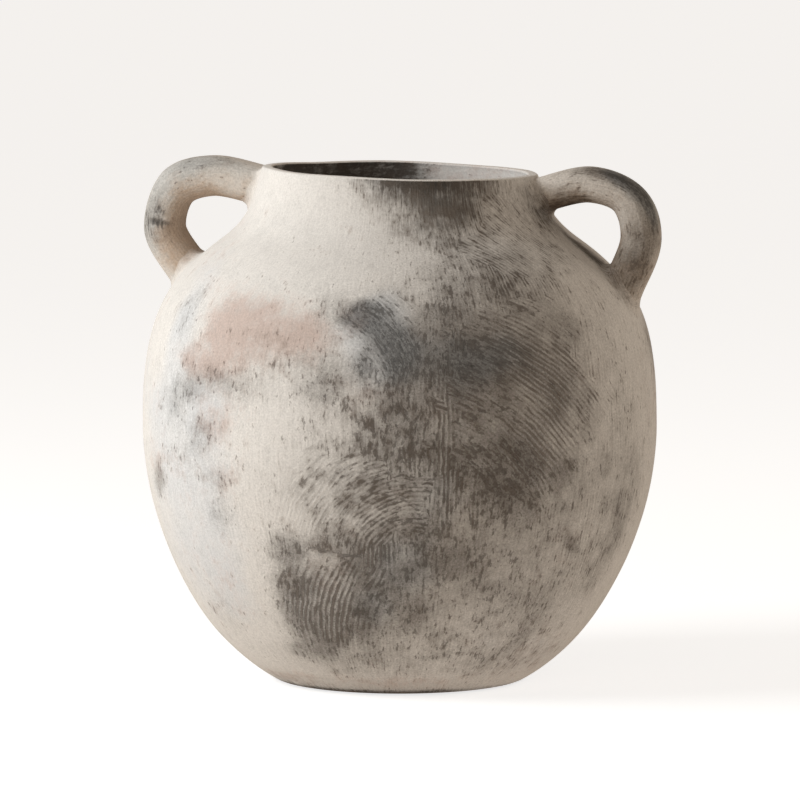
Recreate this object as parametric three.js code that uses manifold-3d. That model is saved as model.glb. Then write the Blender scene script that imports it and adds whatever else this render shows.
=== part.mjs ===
// A rustic two-handled ceramic vase, in millimetres, +Z up. The origin is the middle of the foot on the
// table, +X points at the right handle and -Y at the front.
//
// The pot is built up the way a potter builds a big jar: a slab for the foot, two bowls for the belly, a
// collar for the neck, two pulled handles, and a roll of soft clay pressed round each end of each handle.

import * as THREE from 'three';
import { LoftGeometry } from 'three/addons/geometries/LoftGeometry.js';
import { mergeVertices } from 'three/addons/utils/BufferGeometryUtils.js';
import Module from 'manifold-3d';

// Foot
const footCornerRadius = 69.3;
const footRounding = 3.4;
const footFlareAngle = THREE.MathUtils.degToRad(30);
const footFlareReach = 59;
const floorThickness = 9;

// Belly
const bellyRadius = 145.4;
const bellyHeight = 142.6;
const bellyReachBelow = 41;
const bellyReachAbove = 58;

// Shoulder
const shoulderRadius = 105.8;
const shoulderRise = 102.4;
const shoulderSlope = THREE.MathUtils.degToRad(38);
const shoulderReachBelow = 39;
const shoulderReachAbove = 14.3;

// Neck and lip
const lipRadius = 78;
const lipRise = 43;
const neckReach = 28;
const neckFlare = 5;
const collarHeight = 34;
const lipThickness = 6;
const lipRounding = 1.2;
const lipDrop = 2.1;

// Wall
const wallThickness = 8;

// Handles
const barThickness = 21;
const strapThickness = 23;
const handleWidth = 30;
const handleSquareness = 2.5;
const handleBendDrop = 36;
const handleBendFullness = 0.75;
const neckRootBelowLip = 1;
const rootDepth = 9;
const rightHandleRise = 6.2;
const rightShoulderRootDrop = 64;
const rightHandleStandOut = 21.7;
const leftHandleRise = 3.2;
const leftShoulderRootDrop = 59.5;
const leftHandleStandOut = 26;
const leftHandleSkew = THREE.MathUtils.degToRad(3);

// Rolls of clay at the handle roots
const luteReach = 8;
const jointClearance = 0.3;

// Fineness of the facets
const sidesRound = 56;
const bellyRingSpacing = 11;
const collarRingSpacing = 5.5;
const handleSides = 20;
const handleSteps = 20;
const luteFaceSteps = 3;
const luteCurveSteps = 5;

const shoulderHeight = bellyHeight + shoulderRise;
const lipHeight = shoulderHeight + lipRise;
const collarFoot = lipHeight - collarHeight;

const clayWash = { color: 0xd3cabd, roughness: 0.9, metalness: 0 };
const handleClay = { color: 0xb5a695, roughness: 0.88, metalness: 0 };
const footClay = { color: 0x9c8a78, roughness: 0.95, metalness: 0 };

const wasm = await Module();
wasm.setup();

// The outside of the pot from the foot to the lip, as x = radius and y = height.
function buildOutline() {
  const flare = new THREE.Vector2(Math.cos(footFlareAngle), Math.sin(footFlareAngle));
  const slope = new THREE.Vector2(-Math.cos(shoulderSlope), Math.sin(shoulderSlope));
  const footFlat = new THREE.Vector2(footCornerRadius - footRounding, 0);
  const footCorner = new THREE.Vector2(footCornerRadius, 0);
  const footEdge = footCorner.clone().addScaledVector(flare, footRounding);
  const belly = new THREE.Vector2(bellyRadius, bellyHeight);
  const shoulder = new THREE.Vector2(shoulderRadius, shoulderHeight);
  const lip = new THREE.Vector2(lipRadius, lipHeight);

  const outline = new THREE.CurvePath();
  outline.add(new THREE.QuadraticBezierCurve(footFlat, footCorner, footEdge));
  outline.add(new THREE.CubicBezierCurve(
    footEdge,
    footEdge.clone().addScaledVector(flare, footFlareReach),
    new THREE.Vector2(bellyRadius, bellyHeight - bellyReachBelow),
    belly,
  ));
  outline.add(new THREE.CubicBezierCurve(
    belly,
    new THREE.Vector2(bellyRadius, bellyHeight + bellyReachAbove),
    shoulder.clone().addScaledVector(slope, -shoulderReachBelow),
    shoulder,
  ));
  outline.add(new THREE.CubicBezierCurve(
    shoulder,
    shoulder.clone().addScaledVector(slope, shoulderReachAbove),
    new THREE.Vector2(lipRadius + neckFlare, lipHeight - neckReach),
    lip,
  ));
  return outline;
}

const outline = buildOutline();

// Closes in on the place between two fractions where a test turns from false to true.
function turningPoint(from, to, test) {
  const halvings = 36;
  let before = from;
  let after = to;
  for (let halving = 0; halving < halvings; halving++) {
    const middle = (before + after) / 2;
    if (test(middle)) after = middle;
    else before = middle;
  }
  return after;
}

// How far along the outline, from 0 to 1, a height is reached.
function outlineFraction(height) {
  return turningPoint(0, 1, (fraction) => outline.getPoint(fraction).y >= height);
}

function outlineRadius(height) {
  return outline.getPoint(outlineFraction(height)).x;
}

// How much the radius grows for each millimetre of height.
function outlineSlope(height) {
  const step = 0.5;
  const below = Math.max(height - step, 0);
  const above = Math.min(height + step, lipHeight);
  return (outlineRadius(above) - outlineRadius(below)) / (above - below);
}

// Radius at a height of the surface that lies an offset outside the outline, or inside it if negative.
function skinRadius(height, offset) {
  return outlineRadius(height) + offset * Math.hypot(1, outlineSlope(height));
}

// The wall thins from the bottom of the collar to the lip.
function wallAt(height) {
  const rise = THREE.MathUtils.smoothstep(height, collarFoot, lipHeight);
  return THREE.MathUtils.lerp(wallThickness, lipThickness, rise);
}

// Heights between two heights, evenly spread along the outline.
function ringHeights(from, to, spacing) {
  const start = outlineFraction(from);
  const end = outlineFraction(to);
  const count = Math.max(2, Math.round((end - start) * outline.getLength() / spacing));
  const heights = [from];
  for (let ring = 1; ring < count; ring++) {
    heights.push(outline.getPoint(THREE.MathUtils.lerp(start, end, ring / count)).y);
  }
  heights.push(to);
  return heights;
}

function turned(profile) {
  return new THREE.LatheGeometry(profile, sidesRound).rotateX(Math.PI / 2);
}

// A band of wall between two heights: up the outside, over the top and down the inside.
function wallBand(from, to, spacing, rim = []) {
  const heights = ringHeights(from, to, spacing);
  const outside = heights.map((height) => new THREE.Vector2(outlineRadius(height), height));
  const inside = heights.map((height) => new THREE.Vector2(skinRadius(height, -wallAt(height)), height));
  if (rim.length > 0) {
    outside.pop();
    inside.pop();
  }
  return turned([...outside, ...rim, ...inside.reverse(), outside[0].clone()]);
}

// The squared top of the lip, with its outer and inner edges rounded.
function lipProfile() {
  const centreHeight = lipHeight - lipRounding;
  const outerCentre = lipRadius - lipRounding;
  const innerCentre = skinRadius(lipHeight, -lipThickness) + lipRounding;
  const arc = (centre, angle) => new THREE.Vector2(
    centre + lipRounding * Math.cos(angle),
    centreHeight + lipRounding * Math.sin(angle),
  );
  const quarters = [0, Math.PI / 4, Math.PI / 2];
  return [
    ...quarters.map((angle) => arc(outerCentre, angle)),
    ...quarters.map((angle) => arc(innerCentre, angle + Math.PI / 2)),
  ];
}

function buildFootDisc() {
  const flat = new THREE.Vector2(footCornerRadius - footRounding, 0);
  const edge = ringHeights(0, floorThickness, bellyRingSpacing).slice(1);
  const side = edge.map((height) => new THREE.Vector2(outlineRadius(height), height));
  return turned([new THREE.Vector2(0, 0), flat, ...side, new THREE.Vector2(0, floorThickness)]);
}

// A handle's middle line in the plane y = 0: out of the neck, over the top and down to the shoulder.
function buildHandleLine(rise, shoulderRootDrop, standOut) {
  const neckHeight = lipHeight - neckRootBelowLip - barThickness / 2;
  const neckRadius = outlineRadius(neckHeight);
  const barHeight = lipHeight + rise - barThickness / 2;
  const shoulderRoot = lipHeight - shoulderRootDrop;
  const shoulderRootRadius = outlineRadius(shoulderRoot);
  const outerRadius = shoulderRootRadius + standOut - strapThickness / 2;
  const barRadius = (neckRadius + outerRadius) / 2;
  const bendHeight = lipHeight - handleBendDrop;

  const line = [
    new THREE.Vector3(neckRadius, 0, neckHeight),
    new THREE.Vector3(barRadius, 0, barHeight),
    new THREE.Vector3(
      THREE.MathUtils.lerp(barRadius, outerRadius, handleBendFullness),
      0,
      THREE.MathUtils.lerp(bendHeight, barHeight, handleBendFullness),
    ),
    new THREE.Vector3(outerRadius, 0, bendHeight),
    new THREE.Vector3(shoulderRootRadius, 0, shoulderRoot),
  ];
  const intoNeck = line[0].clone().sub(line[1]).setLength(rootDepth).add(line[0]);
  const intoShoulder = line[4].clone().sub(line[3]).setLength(rootDepth).add(line[4]);
  return new THREE.CatmullRomCurve3([intoNeck, ...line, intoShoulder], false, 'centripetal');
}

// A point on a handle's skin, swollen by a clearance: along runs from 0 to 1 from neck to shoulder, and
// angle turns round the section from its outer side. The bar over the top is thinner than the strap below.
function handlePoint(line, along, angle, swelling = 0) {
  const middle = line.getPointAt(along);
  const tangent = line.getTangentAt(along);
  const outward = new THREE.Vector3(-tangent.z, 0, tangent.x);
  const bulge = (value) => Math.sign(value) * Math.abs(value) ** (2 / handleSquareness);
  const downwards = THREE.MathUtils.smoothstep(along, 0, 1);
  const thickness = THREE.MathUtils.lerp(barThickness, strapThickness, downwards);
  middle.addScaledVector(outward, bulge(Math.cos(angle)) * (thickness / 2 + swelling));
  middle.y += bulge(Math.sin(angle)) * (handleWidth / 2 + swelling);
  return middle;
}

function handleAngles() {
  return Array.from({ length: handleSides }, (_, side) => (side / handleSides) * 2 * Math.PI);
}

// Joins shared corners, so that the mesh can be cut as a solid.
function solidOf(geometry) {
  const bare = new THREE.BufferGeometry();
  bare.setAttribute('position', geometry.getAttribute('position'));
  bare.setIndex(geometry.getIndex());
  const merged = mergeVertices(bare, 1e-4);
  return new wasm.Manifold(new wasm.Mesh({
    numProp: 3,
    vertProperties: merged.getAttribute('position').array,
    triVerts: new Uint32Array(merged.index.array),
  }));
}

function geometryOf(solid) {
  const mesh = solid.getMesh();
  const geometry = new THREE.BufferGeometry();
  geometry.setAttribute('position', new THREE.BufferAttribute(mesh.vertProperties, mesh.numProp));
  geometry.setIndex(new THREE.BufferAttribute(mesh.triVerts, 1));
  return geometry;
}

// The whole pot without its hollow, swollen by the clearance that a handle's end keeps from it.
function buildPotBlank() {
  const heights = ringHeights(0, lipHeight, collarRingSpacing);
  const skin = heights.map((height) => new THREE.Vector2(skinRadius(height, jointClearance), height));
  return turned([new THREE.Vector2(0, 0), ...skin, new THREE.Vector2(0, lipHeight)]);
}

// A pulled handle, cut at both ends to the shape of the pot.
function buildHandle(line) {
  const angles = handleAngles();
  const sections = [];
  for (let step = 0; step <= handleSteps; step++) {
    sections.push(angles.map((angle) => handlePoint(line, step / handleSteps, -angle)));
  }
  const bar = new LoftGeometry(sections, { capStart: true, capEnd: true });
  return geometryOf(solidOf(bar).subtract(solidOf(buildPotBlank())));
}

// Where one side line of the swollen handle comes out of the swollen pot, as a fraction of the handle line.
function rootFraction(line, angle, inside, outside) {
  return turningPoint(inside, outside, (along) => {
    const point = handlePoint(line, along, angle, jointClearance);
    const height = Math.min(point.z, lipHeight);
    return Math.hypot(point.x, point.y) >= skinRadius(height, jointClearance);
  });
}

// A point on the swollen pot, a distance away from the corner and straight away from the handle.
function potPoint(corner, away, distance) {
  const moved = corner.clone().addScaledVector(away, distance);
  const turn = Math.atan2(moved.y, moved.x);
  const radius = skinRadius(moved.z, jointClearance);
  return new THREE.Vector3(radius * Math.cos(turn), radius * Math.sin(turn), moved.z);
}

// One slice through a roll of clay: along the handle, down the hollow curve and back along the pot.
function luteSlice(line, angle, inside, outside) {
  const root = rootFraction(line, angle, inside, outside);
  const corner = handlePoint(line, root, angle, jointClearance);
  const turn = Math.atan2(corner.y, corner.x);
  const potNormal = new THREE.Vector3(Math.cos(turn), Math.sin(turn), -outlineSlope(corner.z)).normalize();
  const away = corner.clone().sub(line.getPointAt(root));
  away.addScaledVector(potNormal, -away.dot(potNormal)).normalize();

  const room = away.z > 0 ? (lipHeight - jointClearance - corner.z) / away.z : luteReach;
  const reach = THREE.MathUtils.clamp(room, jointClearance, luteReach);
  const stride = Math.sign(outside - inside) * reach / line.getLength();

  const onHandle = [];
  const onPot = [];
  for (let step = 0; step <= luteFaceSteps; step++) {
    const share = step / luteFaceSteps;
    onHandle.push(handlePoint(line, root + stride * share, angle, jointClearance));
    onPot.push(potPoint(corner, away, reach * share));
  }
  const top = onHandle.at(-1);
  const bottom = onPot.at(-1);
  const hollow = new THREE.CubicBezierCurve3(
    top,
    top.clone().addScaledVector(onHandle.at(-2).clone().sub(top), luteFaceSteps - 1),
    bottom.clone().addScaledVector(onPot.at(-2).clone().sub(bottom), luteFaceSteps - 1),
    bottom,
  );
  return [...onHandle, ...hollow.getPoints(luteCurveSteps).slice(1), ...onPot.slice(1, -1).reverse()];
}

// A roll of clay pressed into the corner all round one end of a handle.
function buildLute(line, inside, outside) {
  const turning = Math.sign(inside - outside);
  const slices = handleAngles().map((angle) => luteSlice(line, turning * angle, inside, outside));
  return new LoftGeometry([...slices, slices[0]]);
}

// The lip of a hand-made pot isn't level: above the collar's foot everything leans down towards +X.
function settle(geometry) {
  const position = geometry.getAttribute('position');
  for (let index = 0; index < position.count; index++) {
    const rise = THREE.MathUtils.smoothstep(position.getZ(index), collarFoot, lipHeight);
    const drop = lipDrop * rise * position.getX(index) / lipRadius;
    position.setZ(index, position.getZ(index) - drop);
  }
  geometry.computeVertexNormals();
  return geometry;
}

const vase = new THREE.Group();

function addPiece(name, geometry, clay) {
  const mesh = new THREE.Mesh(settle(geometry), new THREE.MeshStandardMaterial(clay));
  mesh.name = name;
  vase.add(mesh);
}

addPiece('foot_disc', buildFootDisc(), footClay);
addPiece('lower_belly', wallBand(floorThickness, bellyHeight, bellyRingSpacing), clayWash);
addPiece('upper_belly', wallBand(bellyHeight, collarFoot, bellyRingSpacing), clayWash);
addPiece('neck', wallBand(collarFoot, lipHeight, collarRingSpacing, lipProfile()), clayWash);

function addHandle(side, line, turn) {
  addPiece(`handle_${side}`, buildHandle(line).rotateZ(turn), handleClay);
  addPiece(`lute_${side}_upper`, buildLute(line, 0, 0.5).rotateZ(turn), handleClay);
  addPiece(`lute_${side}_lower`, buildLute(line, 1, 0.5).rotateZ(turn), handleClay);
}

const rightLine = buildHandleLine(rightHandleRise, rightShoulderRootDrop, rightHandleStandOut);
const leftLine = buildHandleLine(leftHandleRise, leftShoulderRootDrop, leftHandleStandOut);
addHandle('right', rightLine, 0);
addHandle('left', leftLine, Math.PI - leftHandleSkew);

export default vase;
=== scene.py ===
import math

import bmesh
import bpy
import numpy as np
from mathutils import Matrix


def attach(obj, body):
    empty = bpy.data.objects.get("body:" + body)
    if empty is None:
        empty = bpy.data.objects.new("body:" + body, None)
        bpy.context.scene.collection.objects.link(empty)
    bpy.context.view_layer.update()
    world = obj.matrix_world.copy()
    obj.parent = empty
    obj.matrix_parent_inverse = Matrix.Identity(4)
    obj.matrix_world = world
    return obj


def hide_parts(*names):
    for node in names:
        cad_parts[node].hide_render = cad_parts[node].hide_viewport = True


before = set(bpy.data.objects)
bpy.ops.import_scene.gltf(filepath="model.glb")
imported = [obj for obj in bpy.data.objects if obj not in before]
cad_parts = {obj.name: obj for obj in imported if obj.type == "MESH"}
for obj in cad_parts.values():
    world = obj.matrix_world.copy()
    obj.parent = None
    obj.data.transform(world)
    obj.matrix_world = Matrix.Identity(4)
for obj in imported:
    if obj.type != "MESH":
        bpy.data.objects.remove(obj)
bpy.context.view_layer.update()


# Foot
# A slab of coarse clay beaten flat and cut round, left bare underneath, where the pot stands on
# it. Its edge is thumbed round and already leans out into the belly. Sizes are in metres.
foot_corner_radius = 0.0693
foot_rounding = 0.0034
foot_lean = math.radians(30)
foot_reach = 0.059
floor_thickness = 0.009
belly_radius = 0.1454
belly_height = 0.1426
belly_reach_below = 0.041
steps_around = 400
outside_spacing = 0.0018
inside_spacing = 0.004
curve_points = 300


def bend(*corners):
    """Radius and height along the smooth curve that these corner points pull on."""
    share = np.linspace(0, 1, curve_points)[:, None]
    points = [np.array(corner) * np.ones_like(share) for corner in corners]
    while len(points) > 1:
        points = [start + (end - start) * share for start, end in zip(points, points[1:])]
    return points[0]


def foot_and_belly():
    lean = np.array([math.cos(foot_lean), math.sin(foot_lean)])
    corner = np.array([foot_corner_radius, 0])
    edge = corner + foot_rounding * lean
    belly = np.array([belly_radius, belly_height])
    rounding = bend(corner - (foot_rounding, 0), corner, edge)
    below = bend(edge, edge + foot_reach * lean, belly - (0, belly_reach_below), belly)
    return np.vstack([rounding, below[1:]])


# The outside of the pot, from the foot up. The upper belly's section takes it on to the lip.
outline = foot_and_belly()


def length_along(points):
    return np.r_[0, np.cumsum(np.linalg.norm(np.diff(points, axis=0), axis=1))]


def radius_at(height):
    return np.interp(height, outline[:, 1], outline[:, 0])


def climb_at(height):
    """How far along the outline a height lies, from the foot."""
    return np.interp(height, outline[:, 1], length_along(outline))


def outside_rows(low, high, spacing=outside_spacing):
    """Radius and height of rows that lie evenly along the outline between two heights."""
    start, end = climb_at(low), climb_at(high)
    climb = np.linspace(start, end, round((end - start) / spacing) + 1)
    return np.column_stack([np.interp(climb, length_along(outline), side) for side in outline.T])


class Wire:
    """What comes out of a node. Arithmetic on it adds Math nodes to the same tree."""

    def __init__(self, socket):
        self.socket = socket
        self.tree = socket.id_data

    def __add__(self, other):
        return maths("ADD", self, other)

    def __radd__(self, other):
        return maths("ADD", other, self)

    def __sub__(self, other):
        return maths("SUBTRACT", self, other)

    def __rsub__(self, other):
        return maths("SUBTRACT", other, self)

    def __mul__(self, other):
        return maths("MULTIPLY", self, other)

    def __rmul__(self, other):
        return maths("MULTIPLY", other, self)

    def __truediv__(self, other):
        return maths("DIVIDE", self, other)


def add_node(tree, kind, inputs=None, **settings):
    """Adds a node, with its settings, and feeds its inputs from values or from other nodes."""
    node = tree.nodes.new(kind)
    for name, value in settings.items():
        setattr(node, name, value)
    for name, value in (inputs or {}).items():
        if isinstance(value, Wire):
            tree.links.new(value.socket, node.inputs[name])
        else:
            node.inputs[name].default_value = value
    return node


def maths(operation, *values):
    tree = next(value.tree for value in values if isinstance(value, Wire))
    node = add_node(tree, "ShaderNodeMath", dict(enumerate(values)), operation=operation)
    return Wire(node.outputs[0])


def vectors(operation, *values, output="Vector", **inputs):
    tree = next(value.tree for value in values if isinstance(value, Wire))
    fed = {**dict(enumerate(values)), **inputs}
    node = add_node(tree, "ShaderNodeVectorMath", fed, operation=operation)
    return Wire(node.outputs[output])


def eased(value, low, high):
    """0 below low and 1 above high, with a smooth change between them."""
    node = add_node(value.tree, "ShaderNodeMapRange", {"Value": value, "From Min": low, "From Max": high},
                    interpolation_type="SMOOTHSTEP")
    return Wire(node.outputs["Result"])


def noise(point, scale, detail=2.0, roughness=0.5, w=None, colour=False):
    """Cloudy noise from 0 to 1 with scale clouds or so to a metre, or three of them as a colour. With w
    it also changes along a fourth way."""
    inputs = {"Vector": point, "Scale": scale, "Detail": detail, "Roughness": roughness}
    if w is not None:
        inputs["W"] = w
    node = add_node(point.tree, "ShaderNodeTexNoise", inputs, noise_dimensions="3D" if w is None else "4D")
    return Wire(node.outputs["Color" if colour else "Fac"])


def new_group(kind, name, inputs, outputs):
    """A node group with these named sockets, the wires of its inputs, and its output node."""
    tree = bpy.data.node_groups.new(name, kind)
    for side, sockets in (("INPUT", inputs), ("OUTPUT", outputs)):
        for socket, sort in sockets.items():
            tree.interface.new_socket(socket, in_out=side, socket_type=f"NodeSocket{sort}")
    start = add_node(tree, "NodeGroupInput")
    wires = {socket: Wire(start.outputs[socket]) for socket in inputs}
    return tree, wires, add_node(tree, "NodeGroupOutput")


def deliver(output, **wires):
    for name, wire in wires.items():
        output.id_data.links.new(wire.socket, output.inputs[name.replace("_", " ")])


def split_vector(vector):
    node = add_node(vector.tree, "ShaderNodeSeparateXYZ", {0: vector})
    return [Wire(socket) for socket in node.outputs]


def join_vector(tree, x, y, z):
    return Wire(add_node(tree, "ShaderNodeCombineXYZ", {"X": x, "Y": y, "Z": z}).outputs[0])


def finish_tree(tree, output, geometry, clay):
    """Ends a tree of shapes: one real mesh in one clay."""
    whole = add_node(tree, "GeometryNodeRealizeInstances", {"Geometry": geometry})
    made = add_node(tree, "GeometryNodeSetMaterial", {"Geometry": Wire(whole.outputs[0]), "Material": clay})
    deliver(output, Geometry=Wire(made.outputs[0]))
    tree.is_modifier = True
    return tree


same_place = 1e-6


def build_turning():
    """Spins a template, a row of points given as radius and height, once round the pot's axis."""
    tree, given, output = new_group(
        "GeometryNodeTree", "turned on the wheel",
        {"Geometry": "Geometry", "Rows": "Int", "Steps Around": "Int", "Clay": "Material"},
        {"Geometry": "Geometry"},
    )
    size = add_node(tree, "GeometryNodeAttributeDomainSize", {"Geometry": given["Geometry"]})
    sheet = add_node(tree, "GeometryNodeMeshGrid", {
        "Size X": 1.0, "Size Y": 1.0, "Vertices X": given["Steps Around"] + 1, "Vertices Y": given["Rows"]})
    place = Wire(add_node(tree, "GeometryNodeInputPosition").outputs[0])
    across, up, _ = split_vector(place)
    row = maths("ROUND", (up + 0.5) * (given["Rows"] - 1))
    row = maths("MODULO", row, Wire(size.outputs["Point Count"]))
    template = add_node(tree, "GeometryNodeSampleIndex", {
        "Geometry": given["Geometry"], "Value": place, "Index": row}, data_type="FLOAT_VECTOR")
    radius, _, height = split_vector(Wire(template.outputs[0]))
    turn = (across + 0.5) * math.tau
    x, y = radius * maths("SINE", turn), radius * maths("COSINE", turn) * -1
    spun = join_vector(tree, x, y, height)
    shell = add_node(tree, "GeometryNodeSetPosition", {"Geometry": Wire(sheet.outputs[0]), "Position": spun})
    closed = add_node(tree, "GeometryNodeMergeByDistance", {
        "Geometry": Wire(shell.outputs[0]), "Distance": same_place})
    return finish_tree(tree, output, Wire(closed.outputs[0]), given["Clay"])


def build_hand_work():
    """What hands do to every piece: the lip sags to one side, and nothing is quite round."""
    tree, given, output = new_group(
        "GeometryNodeTree", "hand work",
        {"Geometry": "Geometry", "Lip Drop": "Float", "Lip Radius": "Float", "Collar Foot": "Float",
         "Lip Height": "Float", "Wobble": "Float", "Wobble Width": "Float", "Seat Height": "Float",
         "Clay": "Material"},
        {"Geometry": "Geometry"},
    )
    place = Wire(add_node(tree, "GeometryNodeInputPosition").outputs[0])
    x, _, z = split_vector(place)
    drop = given["Lip Drop"] * eased(z, given["Collar Foot"], given["Lip Height"]) * x / given["Lip Radius"]
    cloud = noise(place, maths("DIVIDE", 1, given["Wobble Width"]), detail=1.5, colour=True)
    push = vectors("SUBTRACT", cloud, (0.5, 0.5, 0.5))
    push = vectors("SCALE", push, Scale=given["Wobble"] * eased(z, 0, given["Seat Height"]))
    move = vectors("SUBTRACT", push, join_vector(tree, 0, 0, drop))
    moved = add_node(tree, "GeometryNodeSetPosition", {"Geometry": given["Geometry"], "Offset": move})
    return finish_tree(tree, output, Wire(moved.outputs[0]), given["Clay"])


turning = build_turning()
hand_work = build_hand_work()
lip_sag = {"Lip Drop": 0.0021, "Lip Radius": 0.078, "Collar Foot": 0.254, "Lip Height": 0.288}
wobble = {"Wobble": 0.003, "Wobble Width": 0.09, "Seat Height": 0.03}


def add_tree(piece, tree, **values):
    modifier = piece.modifiers.new(tree.name, "NODES")
    modifier.node_group = tree
    for socket in tree.interface.items_tree:
        if socket.in_out == "INPUT" and socket.name in values:
            modifier[socket.identifier] = values[socket.name]


def worked_piece(name, shape, clay, crease=math.radians(40)):
    """Leaves the marks of the hands on a shape and makes it a plain mesh at the origin."""
    add_tree(shape, hand_work, Clay=clay, **lip_sag, **wobble)
    bpy.context.view_layer.update()
    seen = shape.evaluated_get(bpy.context.evaluated_depsgraph_get())
    piece = bpy.data.objects.new(name, bpy.data.meshes.new_from_object(seen))
    bpy.data.objects.remove(shape)
    bpy.context.scene.collection.objects.link(piece)
    work = bmesh.new()
    work.from_mesh(piece.data)
    bmesh.ops.remove_doubles(work, verts=work.verts, dist=same_place)
    bmesh.ops.recalc_face_normals(work, faces=work.faces)
    work.to_mesh(piece.data)
    work.free()
    piece.data.shade_smooth()
    piece.data.set_sharp_from_angle(angle=crease)
    return piece


def new_shape(name, points, faces):
    mesh = bpy.data.meshes.new(name)
    mesh.from_pydata([tuple(map(float, point)) for point in points], [], faces)
    shape = bpy.data.objects.new(name, mesh)
    bpy.context.scene.collection.objects.link(shape)
    return shape


def turned_piece(name, template, clay, ring=True):
    """A piece turned from a template that closes on itself as a ring, or else ends on the axis."""
    shape = new_shape(f"{name} template", [(radius, 0, height) for radius, height in template], [])
    rows = len(template) + (1 if ring else 0)
    add_tree(shape, turning, **{"Rows": rows, "Steps Around": steps_around, "Clay": clay})
    return worked_piece(name, shape, clay)


def tint(red, green, blue):
    """A colour given from 0 to 255, turned by the sRGB formula into light for the shaders."""
    def light(part):
        return part / 12.92 if part <= 0.04045 else ((part + 0.055) / 1.055) ** 2.4
    return (*(light(part / 255) for part in (red, green, blue)), 1.0)


def mixed(share, first, second):
    tree = next(value.tree for value in (share, first, second) if isinstance(value, Wire))
    node = add_node(tree, "ShaderNodeMix", {0: share, 6: first, 7: second}, data_type="RGBA")
    return Wire(node.outputs[2])


def swing(point, scale, detail=2.0, roughness=0.5):
    """Cloudy noise from -0.5 to 0.5."""
    return noise(point, scale, detail, roughness) - 0.5


def strokes(point, across, scale, scale_across, detail=2.0, roughness=0.6):
    """Noise from -0.5 to 0.5 that is drawn out along the brush, because it changes faster across it."""
    slow = vectors("SCALE", point, Scale=scale)
    return noise(slow, 1.0, detail, roughness, w=across * scale_across) - 0.5


# How far apart the lines of the bristles lie, how far clouds of noise push them along in radians, and
# how far the brush strays from its way.
bristle_spacing = 0.002513
bristle_drift = 9
brush_wander = 0.0055
# How fully each coat hides what is under it where there is most of it.
film_cover = 0.75
blush_cover = 0.8
soot_cover = 0.85
fleck_cover = 0.44
fleck_cover_where_bare = 0.2
fleck_shade = 0.68


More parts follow.
